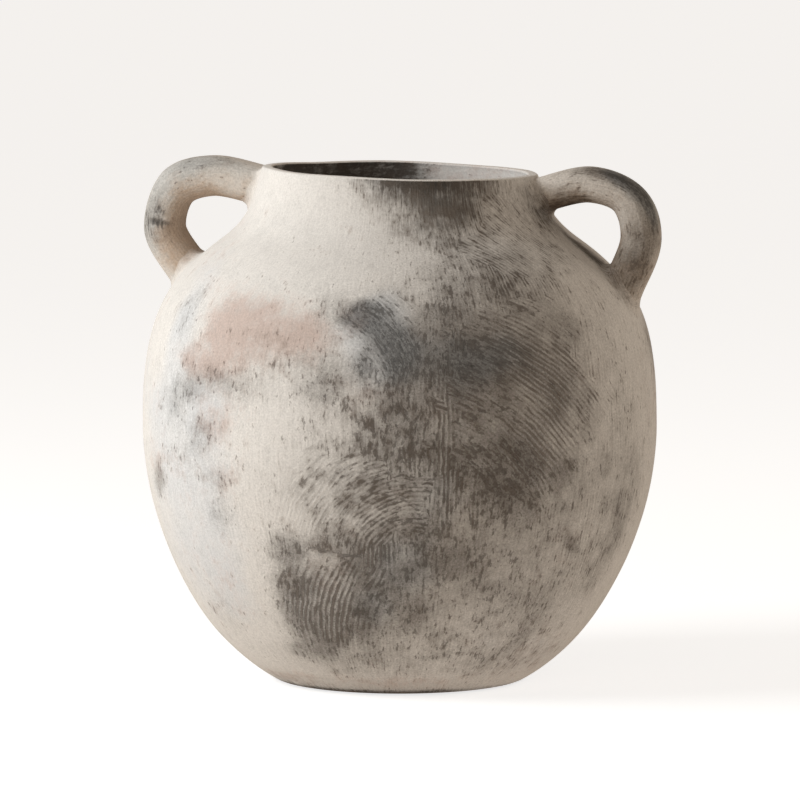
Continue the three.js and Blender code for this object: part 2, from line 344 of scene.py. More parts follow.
def build_brushed_wash():
    """A chalky wash dragged over dark clay with a coarse brush. Bare says how far it has worn away, and
    Combed how plainly the bristles show. Their lines run up and down, and where Swept is over a half
    they follow Sweep instead."""
    tree, given, output = new_group(
        "ShaderNodeTree", "brushed wash",
        {"Point": "Vector", "Sweep": "Float", "Swept": "Float", "Combed": "Float", "Bare": "Float",
         "Blush": "Float", "Soot": "Float", "Cool": "Float", "Slip": "Color", "Cool Slip": "Color",
         "Clay": "Color", "Cool Clay": "Color", "Blush Colour": "Color", "Soot Colour": "Color"},
        {"Colour": "Color", "Roughness": "Float", "Height": "Float"},
    )
    point, combed, worn, smoked = (given[name] for name in ("Point", "Combed", "Bare", "Soot"))
    torn = swing(point, 40, detail=4, roughness=0.6)
    blots = swing(point, 95, detail=5, roughness=0.65)
    clouds = swing(point, 16, detail=3)
    grain = swing(point, 1000)
    bare = worn * (1 + torn * 3 * (1 - worn))

    # The way across the brush, in metres: round the pot, or out from the middle of a sweep.
    x, y, _ = split_vector(point)
    round_the_pot = maths("ABSOLUTE", maths("ARCTAN2", x, y * -1)) * belly_radius
    turned_over = maths("GREATER_THAN", given["Swept"] + swing(point, 45, detail=3) * 1.5, 0.5)
    across = round_the_pot + (given["Sweep"] - round_the_pot) * turned_over
    across = across + swing(point, 30, detail=3) * brush_wander

    # What the brush leaves: long streaks, drags, short dabs and the fine lines of its bristles. Where it
    # has combed the wash most, the lines run evenly, with fewer flecks between them.
    streaks = strokes(point, across, 26, 600, roughness=0.55)
    drags = strokes(point, across, 95, 620)
    dabs = strokes(point, across, 230, 420, detail=3, roughness=0.65)
    bristles = maths("SINE", across * (math.tau / bristle_spacing) + noise(point, 22) * bristle_drift)
    showing = eased(noise(point, 32, detail=3), 0.36, 0.62)
    evenly = eased(combed, 0.72, 0.98)
    lines = (streaks * 0.75 + bristles * (showing * 0.2 + evenly * 0.2)) * combed

    # How much there is of each coat. A number beside a mark is how much that mark counts, and the last
    # two are where the coat starts and where it is full.
    mottled = (blots * 0.6 + dabs * 0.3) * eased(worn, 0, 0.35)
    film = eased(worn * (1 + torn * 1.1) + mottled + lines * 0.9 + drags * 0.35, 0.12, 0.82)
    marks = dabs * (3.1 - combed - evenly * 0.9) + drags * combed * 1.6 + lines
    flecks = eased(bare * 0.66 + smoked * 0.3 + marks + blots * (0.9 - evenly * 0.4), 0.48, 0.76)
    blush = eased(given["Blush"] + clouds * 1.2 + blots * 1.2 + dabs * 0.6, 0.1, 0.9)
    smears = blots * 1.4 + dabs * 1.1 + drags * 0.7 + lines * 0.6
    soot = eased(smoked * (1 + torn * 1.6) + smears, 0.05, 1.15)
    cool = eased(given["Cool"] + clouds * 1.6, 0.2, 0.8)

    # The slip, the clay under it and the soot, each with its own lighter and darker marks, and then one
    # over the other with the flecks last. The soot also lays the painted shade that the Soot input carries.
    slip = mixed(cool, given["Slip"], given["Cool Slip"])
    slip = mixed(blush * blush_cover, slip, given["Blush Colour"])
    shade = 1 + lines * 0.9 + dabs * (0.25 + bare * 1.4) + grain * (0.4 + bare * 0.9) + blots * 0.4
    slip = vectors("SCALE", slip, Scale=shade)
    clay = mixed(cool, given["Clay"], given["Cool Clay"])
    clay = vectors("SCALE", clay, Scale=1 + lines * 2.4 + drags * 1.8 + blots * 0.6 + grain * 1.3)
    smoke_shade = 1.15 - smoked * 0.55 + dabs * 2.5 + blots * 3
    colour = mixed(film * film_cover, slip, clay)
    colour = mixed(soot * soot_cover, colour, vectors("SCALE", given["Soot Colour"], Scale=smoke_shade))
    fleck_colour = vectors("SCALE", clay, Scale=fleck_shade)
    colour = mixed(flecks * (fleck_cover + bare * fleck_cover_where_bare), colour, fleck_colour)

    # The relief is in metres.
    rough = 0.92 - film * 0.1
    height = lines * 0.00025 - flecks * 0.0001 + grain * 0.00012 + dabs * 0.00015 + blots * 0.0002
    deliver(output, Colour=colour, Roughness=rough, Height=height)
    return tree


brushed_wash = build_brushed_wash()
clay_shine = 0.25


def new_material(name):
    """A material with nothing in it yet but its shader, and the wire of the place that it colours."""
    material = bpy.data.materials.new(name)
    material.use_nodes = True
    tree = material.node_tree
    tree.nodes.clear()
    shader = add_node(tree, "ShaderNodeBsdfPrincipled")
    shader.inputs["Specular IOR Level"].default_value = clay_shine
    surface = add_node(tree, "ShaderNodeOutputMaterial")
    tree.links.new(shader.outputs[0], surface.inputs["Surface"])
    point = Wire(add_node(tree, "ShaderNodeTexCoord").outputs["Object"])
    return material, shader, point


def coat(shader, colour, roughness, height):
    """Gives a shader its colour, roughness and relief, the relief in metres."""
    tree = shader.id_data
    bump = add_node(tree, "ShaderNodeBump", {"Height": height, "Distance": 1.0})
    for name, wire in (("Base Color", colour), ("Roughness", roughness), ("Normal", Wire(bump.outputs[0]))):
        tree.links.new(wire.socket, shader.inputs[name])


def wash_over(point, **colours):
    """Colour, roughness and height of the brushed wash, from where it is painted on the mesh."""
    tree = point.tree
    painted = {
        name: Wire(add_node(tree, "ShaderNodeAttribute", attribute_name=name.lower()).outputs["Fac"])
        for name in ("Sweep", "Swept", "Combed", "Bare", "Blush", "Soot", "Cool")
    }
    named = {name.replace("_", " "): colour for name, colour in colours.items()}
    group = add_node(tree, "ShaderNodeGroup", node_tree=brushed_wash)
    for name, value in {"Point": point, **painted, **named}.items():
        if isinstance(value, Wire):
            tree.links.new(value.socket, group.inputs[name])
        else:
            group.inputs[name].default_value = value
    return [Wire(group.outputs[name]) for name in ("Colour", "Roughness", "Height")]


# The soot colour lays both smoke and the painted shade that the soot places carry.
pot_colours = {
    "Slip": tint(216, 213, 209),
    "Cool_Slip": tint(211, 212, 213),
    "Clay": tint(86, 80, 75),
    "Cool_Clay": tint(76, 77, 77),
    "Blush_Colour": tint(183, 163, 154),
    "Soot_Colour": tint(82, 73, 64),
}
bare_clay_colour = tint(112, 92, 74)
dusty_clay_colour = tint(138, 118, 98)
wash_edge_height = (0.0003, 0.0016)
wash_edge_radius = (0.0665, 0.0685)
wash_edge_wander = 0.003
grit_relief = 0.0004


def build_foot_clay():
    """Gritty bare clay underneath and on the floor inside. The wash comes down over the edge."""
    material, shader, point = new_material("foot clay")
    x, y, z = split_vector(point)
    colour, rough, height = wash_over(point, **pot_colours)
    grit = noise(point, 420, detail=4, roughness=0.7)
    patchy = noise(point, 45, detail=4)
    bare = mixed(patchy, bare_clay_colour, dusty_clay_colour)
    bare = vectors("SCALE", bare, Scale=0.7 + grit * 0.6)
    out = vectors("LENGTH", join_vector(point.tree, x, y, 0), output="Value")
    side = eased(z + (patchy - 0.5) * wash_edge_wander, *wash_edge_height) * eased(out, *wash_edge_radius)
    relief = (grit - 0.5) * grit_relief * (1 - side)
    coat(shader, mixed(side, bare, colour), rough, height + relief)
    return material


foot_clay = build_foot_clay()
disc_rows = 24
foot_underside = [(radius, 0) for radius in np.linspace(0, outline[0][0], disc_rows)]
foot_top = [(radius, floor_thickness) for radius in np.linspace(radius_at(floor_thickness), 0, disc_rows)]
foot_template = [*foot_underside, *outside_rows(0, floor_thickness)[1:], *foot_top[1:]]
foot = turned_piece("foot", foot_template, foot_clay, ring=False)
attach(foot, "root")
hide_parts("foot_disc")


# Lower belly
# The bowl that the pot starts from, turned from one lump and left to stiffen. Inside, its clay runs
# into the floor in a hollow curve, and outside it is brushed with the chalky wash.
wall_thickness = 0.008
floor_hollow_height = 0.024
floor_hollow_radius = 0.052
floor_hollow_reach = (0.011, 0.0125)
floor_hollow_flat = 0.012
floor_hollow_stride = 30
slope_step = 0.0005


def slope_at(height):
    """How fast the pot's radius grows with height."""
    return (radius_at(height + slope_step) - radius_at(height - slope_step)) / (2 * slope_step)


def inside_rows(low, high, wall, spacing=inside_spacing):
    """Rows of the wall's inner side, square to the outline by the wall's thickness, from the top down."""
    rows = outside_rows(low, high, spacing)
    rows[:, 0] -= wall(rows[:, 1]) * np.hypot(1, slope_at(rows[:, 1]))
    return rows[::-1]


def build_washed_clay():
    material, shader, point = new_material("washed clay")
    coat(shader, *wash_over(point, **pot_colours))
    return material


def even_wall(height):
    return wall_thickness + 0 * height


washed_clay = build_washed_clay()


def lower_belly_template():
    outside = outside_rows(floor_thickness, belly_height)
    inside = inside_rows(floor_hollow_height, belly_height, even_wall)
    top, end = inside[-1], np.array([floor_hollow_radius, floor_thickness])
    hollow = bend(top, top - floor_hollow_reach, end + (floor_hollow_flat, 0), end)
    return [*outside, *inside, *hollow[floor_hollow_stride::floor_hollow_stride]]


lower_belly = turned_piece("lower_belly_wall", lower_belly_template(), washed_clay)
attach(lower_belly, "root")
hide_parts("lower_belly")


# Upper belly
# A second bowl, turned upside down on the first and luted to it at the widest place. It draws in
# over the shoulder to the foot of the collar, and the same wash covers it.
shoulder_radius = 0.1058
shoulder_height = 0.245
shoulder_slope = math.radians(38)
belly_reach_above = 0.058
shoulder_reach_below = 0.039
shoulder_reach_above = 0.0143
lip_radius = 0.078
lip_height = 0.288
neck_reach = 0.028
neck_flare = 0.005
collar_foot = 0.254


def shoulder_and_neck():
    slope = np.array([-math.cos(shoulder_slope), math.sin(shoulder_slope)])
    belly = np.array([belly_radius, belly_height])
    shoulder = np.array([shoulder_radius, shoulder_height])
    lip = np.array([lip_radius, lip_height])
    above = bend(belly, belly + (0, belly_reach_above), shoulder - shoulder_reach_below * slope, shoulder)
    neck = bend(shoulder, shoulder + shoulder_reach_above * slope, lip + (neck_flare, -neck_reach), lip)
    return np.vstack([above[1:], neck[1:]])


outline = np.vstack([outline, shoulder_and_neck()])

upper_belly = turned_piece(
    "upper_belly_wall",
    [*outside_rows(belly_height, collar_foot), *inside_rows(belly_height, collar_foot, even_wall)],
    washed_clay,
)
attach(upper_belly, "root")
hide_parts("upper_belly")


# Neck
# The collar, pulled up from a coil on the shoulder and thinned to a squared lip with its edges
# wiped round. Smoke has darkened it under the lip at the front. Painted shade, laid on as soot,
# darkens the left of the mouth inside, and the top of the lip is left clean and light, a painted highlight.
lip_thickness = 0.006
lip_rounding = 0.0012
neck_spacing = 0.001
neck_inside_spacing = 0.0015
rim_steps = 6


def thinning_wall(height):
    rise = np.clip((height - collar_foot) / (lip_height - collar_foot), 0, 1)
    return wall_thickness + (lip_thickness - wall_thickness) * rise * rise * (3 - 2 * rise)


def neck_template():
    outside = outside_rows(collar_foot, lip_height, neck_spacing)[:-2]
    inside = inside_rows(collar_foot, lip_height, thinning_wall, neck_inside_spacing)[1:]
    inner_lip = lip_radius - lip_thickness
    turn = np.linspace(0, math.pi / 2, rim_steps)
    much, little = lip_rounding * (1 - np.cos(turn)), lip_rounding * (1 - np.sin(turn))
    outer_edge = np.column_stack([lip_radius - much, lip_height - little])
    inner_edge = np.column_stack([inner_lip + little, lip_height - much])
    return [*outside, *outer_edge, *inner_edge, *inside]


neck = turned_piece("neck_wall", neck_template(), washed_clay)
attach(neck, "root")
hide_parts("neck")


# Wash
# When the pot was dry it was brushed all over with chalky wash, in arcs from the wrist, and rubbed
# back by hand in patches down to clay that the smoke of the kiln had darkened.
# A place is its turn from the front in degrees, its height, half width and half height in
# millimetres, how far its top leans to the right in degrees, and how strong it is.
worn_places = [
    # The big dark patch on the right of the front.
    (37, 168, 48, 54, 0, 0.45), (33, 192, 34, 14, 14, 0.6), (34, 128, 28, 24, -10, 0.6),
    (48, 190, 24, 26, -20, 0.22), (30, 221, 42, 16, 0, 0.38), (23, 150, 9, 40, 0, 0.35),
    (46, 120, 26, 22, 0, 0.25), (12, 150, 26, 24, 0, 0.45), (12, 134, 20, 32, 0, 0.28),
    (-4, 150, 20, 44, 0, 0.18), (21, 204, 14, 18, 0, 0.4), (14, 176, 22, 12, 0, 0.35),
    (32, 178, 26, 12, 0, 0.2), (36, 240, 36, 18, 0, 0.34), (52, 212, 14, 18, -20, 0.15),
    # The slate patch beside it.
    (4, 216, 10, 10, -25, 0.5), (11, 198, 9, 14, -25, 0.85), (13, 190, 8, 8, 0, 0.5),
    (8, 208, 14, 18, 0, 0.2), (2, 221, 5, 4, -30, 0.35), (6, 211, 5, 6, -20, 0.6),
    (13, 200, 5, 8, -25, 0.55), (15, 187, 4, 6, 0, 0.5), (-1, 214, 4, 4, 0, 0.45),
    (-5, 221, 10, 11, -20, 0.35), (4, 191, 7, 9, 0, 0.42),
    # The combed patch low on the front, and what lies round it.
    (-12, 48, 18, 28, 12, 0.64), (-1, 46, 15, 22, 0, 0.55), (-8, 67, 18, 9, 0, 0.42),
    (5, 78, 14, 24, 10, 0.6), (-15, 87, 14, 11, 20, 0.52), (-18, 60, 9, 22, 12, 0.25),
    (-16, 28, 18, 7, 0, 0.4), (-4, 92, 14, 10, 0, 0.4), (12, 103, 18, 11, 0, 0.36),
    (13, 73, 9, 18, 0, 0.36), (18, 88, 24, 20, 0, 0.38), (14, 54, 18, 18, 0, 0.34),
    (28, 80, 22, 20, 0, 0.28), (42, 46, 22, 14, 0, 0.16), (8, 36, 14, 12, 0, 0.25),
    (36, 54, 60, 42, 0, 0.31), (24, 20, 90, 14, 0, 0.26), (-10, 1, 80, 4, 0, 0.7),
    # Flecked places on the left.
    (-6, 177, 13, 7, 0, 0.35), (-8, 190, 24, 8, 0, 0.32), (-22, 176, 22, 9, 0, 0.28),
    (-46, 168, 20, 12, -20, 0.22), (-36, 176, 22, 8, -10, 0.33), (-38, 148, 16, 12, -30, 0.2),
    (-49, 214, 18, 18, 0, 0.27), (-57, 118, 12, 9, -45, 0.4), (-33, 104, 10, 12, 20, 0.28),
    (-33, 124, 10, 6, 0, 0.27), (-46, 46, 20, 20, 0, 0.2), (-42, 155, 44, 60, 0, 0.17),
    # The right edge, the shoulder over it and the lip. The two broad places darken the whole right side
    # and the right of the neck.
    (64, 130, 8, 6, -20, 0.35), (72, 80, 10, 20, 20, 0.2), (74, 110, 16, 26, 0, 0.28),
    (57, 86, 9, 4, 40, 0.4), (50, 32, 6, 12, 30, 0.35), (67, 66, 12, 8, 30, 0.2),
    (60, 120, 60, 110, 0, 0.27), (60, 256, 50, 34, 0, 0.26), (20, 286, 30, 7, 0, 0.5),
    # The back.
    (118, 180, 50, 34, -20, 0.4), (98, 196, 22, 15, -25, 0.42), (130, 158, 30, 30, 10, 0.42),
    (112, 116, 20, 34, 10, 0.38), (142, 84, 44, 30, -10, 0.38), (131, 55, 26, 15, 0, 0.42),
    (174, 166, 46, 38, 15, 0.4), (164, 206, 30, 12, -10, 0.42), (-178, 124, 28, 26, 0, 0.48),
    (-168, 74, 34, 22, -15, 0.38), (-144, 190, 26, 18, 20, 0.45), (-128, 170, 16, 14, 0, 0.33),
    (-118, 112, 30, 24, -25, 0.42), (-128, 86, 18, 14, 0, 0.42), (-94, 58, 26, 11, 20, 0.38),
    (-85, 188, 20, 16, 0, 0.28), (150, 130, 100, 90, 0, 0.3), (-120, 120, 90, 90, 0, 0.2),
]
# Where the fire has left it pink.
pink_places = [
    (-24, 206, 30, 22, -8, 0.85), (-10, 203, 14, 13, 0, 0.6), (-34, 210, 12, 18, 0, 0.5),
    (-40, 187, 24, 8, 8, 0.6), (-32, 155, 14, 10, 0, 0.35), (-58, 125, 12, 14, 0, 0.4),
    (-30, 125, 12, 10, 0, 0.3), (10, 165, 24, 18, 0, 0.3), (-10, 75, 22, 22, 0, 0.3),
    (2, 215, 8, 8, 0, 0.4), (-20, 8, 70, 8, 0, 0.5), (125, 160, 35, 22, 0, 0.5),
    (-155, 125, 30, 25, 0, 0.6), (-105, 170, 22, 16, 0, 0.4),
]
# Where smoke has blackened it, and painted shade: round the right handle's roots and down the right
# edge between them, by the left handle's lower root, and low on the left by the foot.
smoke_and_shade_places = [
    (24, 288, 33, 7, 0, 1.0), (13, 284, 18, 9, 0, 0.85), (32, 279, 24, 8, 0, 0.45),
    (28, 271, 26, 14, -12, 0.75), (16, 276, 26, 8, -10, 0.5), (31, 259, 28, 18, 0, 0.6),
    (50, 281, 10, 10, 0, 0.45), (36, 234, 28, 12, 0, 0.3), (22, 226, 14, 8, 0, 0.25),
    (12, 140, 40, 46, 0, 0.35), (-1, 120, 34, 26, 0, 0.5), (33, 124, 24, 22, 0, 0.3),
    (-6, 58, 24, 34, 0, 0.3), (33, 192, 30, 12, 14, 0.2), (-20, 198, 26, 14, 0, 0.2),
    (34, 32, 50, 16, 0, 0.2), (12, 66, 14, 12, 0, 0.2), (82, 272, 16, 14, 0, 0.85),
    (88, 241, 10, 27, 0, 0.95), (85, 224, 9, 12, 0, 0.6), (62, 250, 20, 26, 0, 0.2),
    (-50, 4, 60, 9, 0, 0.35), (170, 275, 60, 12, 0, 0.5), (-95, 236, 14, 8, 0, 0.35),
]
# Where the wash and the clay are bluer.
cool_places = [
    (8, 207, 22, 26, 0, 0.9), (28, 196, 36, 16, 0, 0.7), (-50, 195, 16, 34, 0, 0.7),
    (-40, 160, 20, 14, 0, 0.3), (14, 78, 20, 16, 0, 0.5), (5, 55, 14, 14, 0, 0.6),
    (20, 110, 14, 24, 0, 0.4), (-46, 115, 60, 70, 0, 0.5), (140, 190, 40, 30, 0, 0.7),
    (-120, 90, 40, 30, 0, 0.6),
]
# Where the bristles have left lines.
combed_places = [
    (-2, 118, 32, 22, 0, 0.6), (22, 146, 9, 42, 0, 0.85), (-9, 55, 26, 36, 12, 1.0),
    (6, 82, 18, 20, 0, 0.9), (42, 192, 42, 34, 0, 0.9), (46, 148, 22, 32, 0, 0.85),
    (62, 150, 30, 60, 0, 0.35), (70, 90, 22, 34, 0, 0.4), (8, 207, 16, 20, 0, 0.7),
    (52, 250, 34, 34, 0, 0.6), (100, 170, 50, 60, 0, 0.7), (150, 110, 60, 60, 0, 0.7),
    (-150, 170, 50, 50, 0, 0.7), (-100, 100, 50, 60, 0, 0.7), (40, 285, 40, 20, 0, 0.4),
]
# Arcs of the brush. A sweep is the turn and height of its middle, then the turn, height, half width and
# half height of the place where it shows.
sweeps = [
    (15, 84, 0, 112, 44, 26), (80, 25, -8, 54, 42, 36), (-5, 60, 41, 168, 48, 60),
    (-14, 160, 8, 208, 20, 24), (20, 195, 54, 252, 34, 30), (-100, 40, -95, 110, 45, 50),
    (-160, 100, -145, 175, 50, 45), (135, 40, 150, 115, 55, 50), (120, 110, 105, 178, 45, 40),
]
# How plainly the bristles show outside those places.
least_combed = 0.08


def away_from(turn_degrees, height_millimetres, turn, height):
    """How far across and up the skin of the pot each point lies from a place on it, in metres."""
    middle = height_millimetres / 1000
    aside = (turn - math.radians(turn_degrees) + math.pi) % math.tau - math.pi
    return radius_at(middle) * aside, climb_at(height) - climb_at(middle)


def oval(across, up, half_width, half_height, lean=0):
    """1 in the middle of an oval place, a half on its edge, and fading to 0 outside."""
    lean = math.radians(lean)
    wide = (across * math.cos(lean) - up * math.sin(lean)) / (half_width / 1000)
    tall = (across * math.sin(lean) + up * math.cos(lean)) / (half_height / 1000)
    return 1 / (1 + (wide ** 2 + tall ** 2) ** 2)


def covered(places, turn, height):
    """How strongly the places together cover each point, from 0 to 1."""
    clear = 1.0
    for place_turn, place_height, half_width, half_height, lean, strength in places:
        across, up = away_from(place_turn, place_height, turn, height)
        clear = clear * (1 - strength * oval(across, up, half_width, half_height, lean))
    return 1 - clear


def brushed(turn, height):
    """Distance from the middle of the brush's sweep, and how surely a sweep covers each point."""
    distance = np.zeros_like(turn)
    surely = np.zeros_like(turn)
    for middle_turn, middle_height, turn_shown, height_shown, half_width, half_height in sweeps:
        across, up = away_from(middle_turn, middle_height, turn, height)
        shown = oval(*away_from(turn_shown, height_shown, turn, height), half_width, half_height)
        nearer = shown > surely
        distance[nearer] = np.hypot(across, np.maximum(up, 0))[nearer]
        surely[nearer] = shown[nearer]
    return distance, surely


def paint(mesh, **coats):
    for name, values in coats.items():
        layer = mesh.attributes.new(name, "FLOAT", "POINT")
        layer.data.foreach_set("value", np.asarray(values, dtype=np.float32))


def of_each_point(mesh, what):
    """The place ("co") or the facing ("normal") of each point of a mesh."""
    flat = np.empty(len(mesh.vertices) * 3, dtype=np.float32)
    mesh.vertices.foreach_get(what, flat)
    return flat.reshape(-1, 3).astype(float)


def outside_coats(points):
    turn = np.arctan2(points[:, 0], -points[:, 1])
    height = points[:, 2]
    distance, surely = brushed(turn, height)
    return {
        "bare": covered(worn_places, turn, height),
        "blush": covered(pink_places, turn, height),
        "soot": covered(smoke_and_shade_places, turn, height),
        "cool": covered(cool_places, turn, height),
        "combed": least_combed + (1 - least_combed) * covered(combed_places, turn, height),
        "sweep": distance,
        "swept": surely,
    }


skin_depth = 0.0025
# How sharply the painted shade inside the mouth fades out across its middle, how much more of it the front
# inside has, and how much clay shows inside where it is washed and where it is shaded.
inside_shade_edge = 0.006
inside_shade_in_front = 0.3
washed_inside_bare = 0.05
shaded_inside_bare = 0.5
inside_blush = 0.3
wheel_ripple = 0.004
lit_lip_depth = 0.006
lit_lip_facing = 0.35


def paint_pot(piece):
    """Paints a turned piece: worn, pink, smoked and shaded outside, painted shade as soot on the left
    inside and washed on the right, and left light on top of the lip as a painted highlight."""
    points = of_each_point(piece.data, "co")
    facing = of_each_point(piece.data, "normal")
    x, y, height = points.T
    turn = np.arctan2(x, -y)
    # Painted shade inside: soot and bare clay on the left of the mouth, fading out across the middle, and
    # more of it on the front half.
    inside_shade = 1 / (1 + np.exp(x / inside_shade_edge))
    inside_shade = np.where(y < 0, np.minimum(inside_shade + inside_shade_in_front, 1), inside_shade)
    inside_coats = {
        "bare": washed_inside_bare + (shaded_inside_bare - washed_inside_bare) * inside_shade,
        "blush": inside_blush,
        "soot": inside_shade,
        "cool": 0,
        "sweep": climb_at(height) + wheel_ripple * np.sin(turn * 2),
        "swept": 1,
    }
    coats = outside_coats(points)
    inside = np.hypot(x, y) < radius_at(height) - skin_depth
    for name, values in inside_coats.items():
        coats[name] = np.where(inside, values, coats[name])
    # Painted highlight: faces on top of the lip that look up are cleared of bare clay, soot and cool tint,
    # so they stay light.
    rubbed = (height > lip_height - lit_lip_depth) & (facing[:, 2] > lit_lip_facing)
    for name in ("bare", "soot", "cool"):
        coats[name] = np.where(rubbed, 0, coats[name])
    paint(piece.data, **coats)


for piece in (foot, lower_belly, upper_belly, neck):
    paint_pot(piece)


# Handles
# Each is one pull of clay, bent over from the lip to the shoulder while it was soft. It is thinner
# over the top than where it comes down, and the wash on it is thin and rubbed.
bar_thickness = 0.021
strap_thickness = 0.023
handle_width = 0.030
handle_squareness = 2.5
bend_drop = 0.036
bend_fullness = 0.75
neck_root_below_lip = 0.001
root_depth = 0.009
sunk_in_wall = 0.003
handle_sides = 72
handle_steps = 150
line_points = 80
halvings = 30
lump_relief = 0.0005
handle_turns = {"right": 0, "left": math.pi - math.radians(3)}
# The handles' soot colour also lays their painted shade.
handle_colours = {
    "Slip": tint(204, 197, 189),
    "Cool_Slip": tint(192, 190, 186),
    "Clay": tint(98, 90, 82),
    "Cool_Clay": tint(74, 74, 74),
    "Blush_Colour": tint(172, 148, 126),
    "Soot_Colour": tint(66, 56, 47),
}


def smooth_line(points):
    """Points along a centripetal Catmull-Rom curve through these points."""
    points = [2 * points[0] - points[1], *points, 2 * points[-1] - points[-2]]
    share = np.linspace(0, 1, line_points)[:, None]
    line = []
    for before, start, end, after in zip(points, points[1:], points[2:], points[3:]):
        steps = (start - before, end - start, after - end)
        entry, span, leave = (np.linalg.norm(step) ** 0.5 for step in steps)
        setting_off = (start - before) / entry - (end - before) / (entry + span) + (end - start) / span
        arriving = (end - start) / span - (after - start) / (span + leave) + (after - end) / leave
        setting_off, arriving = setting_off * span, arriving * span
        line.append(start + setting_off * share
                    + (3 * (end - start) - 2 * setting_off - arriving) * share ** 2
                    + (2 * (start - end) + setting_off + arriving) * share ** 3)
    return np.vstack([line[0], *(piece[1:] for piece in line[1:])])


def handle_line(rise, shoulder_root_drop, stand_out):
    """A handle's middle line, as distance out from the axis and height, from the neck to the shoulder."""
    neck_height = lip_height - neck_root_below_lip - bar_thickness / 2
    bar_height = lip_height + rise - bar_thickness / 2
    shoulder_root = np.array([radius_at(lip_height - shoulder_root_drop), lip_height - shoulder_root_drop])
    outer = np.array([shoulder_root[0] + stand_out - strap_thickness / 2, lip_height - bend_drop])
    neck_root = np.array([radius_at(neck_height), neck_height])
    bar = np.array([(neck_root[0] + outer[0]) / 2, bar_height])
    corner = bar + (outer - bar) * (bend_fullness, 1 - bend_fullness)

    def onward(start, end):
        return end + (end - start) / np.linalg.norm(end - start) * root_depth

    return smooth_line([
        onward(bar, neck_root), neck_root, bar, corner, outer, shoulder_root, onward(outer, shoulder_root)])


handle_lines = {
    "right": handle_line(rise=0.0062, shoulder_root_drop=0.064, stand_out=0.0217),
    "left": handle_line(rise=0.0032, shoulder_root_drop=0.0595, stand_out=0.026),
}


def point_along(line, along):
    length = length_along(line)
    return [np.interp(along * length[-1], length, side) for side in line.T]


def handle_skin(line, along, angle, swelling=0.0):
    """Points on a handle's skin before it is turned to its side of the pot. The angle starts from the
    outside of the bend."""
    out, height = point_along(line, along)
    step = 0.004
    next_out, next_height = point_along(line, np.minimum(along + step, 1))
    last_out, last_height = point_along(line, np.maximum(along - step, 0))
    run, climb = next_out - last_out, next_height - last_height
    speed = np.hypot(run, climb)
    thickness = bar_thickness + (strap_thickness - bar_thickness) * along * along * (3 - 2 * along)
    flat, wide = (np.sign(part) * np.abs(part) ** (2 / handle_squareness)
                  for part in (np.cos(angle), np.sin(angle)))
    lift = flat * (thickness / 2 + swelling)
    aside = wide * (handle_width / 2 + swelling) + 0 * lift
    return np.stack([out - climb / speed * lift, aside, height + run / speed * lift], -1)


def skin_radius(height, offset):
    """Radius of a surface that lies an even offset outside the pot."""
    return radius_at(height) + offset * np.hypot(1, slope_at(height))


def meeting_place(line, angle, end, swelling, offset):
    """How far along a handle each line of its skin comes out of the pot, at its end 0 or 1."""
    inside, outside = np.full_like(angle, float(end)), np.full_like(angle, 0.5)
    for _ in range(halvings):
        middle = (inside + outside) / 2
        points = handle_skin(line, middle, angle, swelling)
        skin = skin_radius(np.minimum(points[:, 2], lip_height), offset)
        clear = np.hypot(points[:, 0], points[:, 1]) >= skin
        outside = np.where(clear, middle, outside)
        inside = np.where(clear, inside, middle)
    return outside


def turned_to(points, turn):
    x, y, z = np.moveaxis(points, -1, 0)
    across, ahead = math.cos(turn), math.sin(turn)
    return np.stack([x * across - y * ahead, x * ahead + y * across, z], -1)


def tube_faces(rings, sides, closed):
    """Squares between rings of points. A closed tube also joins its last ring to its first."""
    faces = []
    for ring in range(rings if closed else rings - 1):
        here, there = ring * sides, (ring + 1) % rings * sides
        for side in range(sides):
            beside = (side + 1) % sides
            faces.append((here + side, here + beside, there + beside, there + side))
    return faces


def build_handle_clay():
    material, shader, point = new_material("handle clay")
    on_handle = Wire(add_node(point.tree, "ShaderNodeAttribute", attribute_name="on_handle").outputs["Fac"])
    colours = {name: mixed(on_handle, pot_colours[name], handle_colours[name]) for name in pot_colours}
    colour, rough, height = wash_over(point, **colours)
    lumps = swing(point, 480, detail=3, roughness=0.6)
    coat(shader, colour, rough, height + lumps * on_handle * lump_relief)
    return material


handle_clay = build_handle_clay()

# A place on a handle is how far along it lies, from the neck at 0 to the shoulder at 1, its angle
# from the outside of the bend in degrees, its half length along, its half width in degrees and how
# strong it is. The front of the right handle is at -90 degrees, and that of the left one at 90.
worn_handle_places = {
    "right": [(0.4, -34, 0.14, 32, 0.85), (0.54, -30, 0.12, 30, 0.7), (0.68, -60, 0.18, 60, 0.42),
              (0.85, -80, 0.12, 60, 0.4), (0.4, 90, 0.2, 60, 0.5)],
    "left": [(0.35, 40, 0.12, 40, 0.3), (0.66, 70, 0.12, 50, 0.35), (0.5, -90, 0.3, 60, 0.5)],
}
browned_handle_places = {
    "right": [(0.2, 180, 0.2, 80, 0.9), (0.7, 180, 0.3, 50, 0.5), (0.9, -90, 0.15, 90, 0.4)],
    "left": [(0.5, 180, 0.45, 75, 0.9), (0.85, 150, 0.2, 90, 0.7)],
}
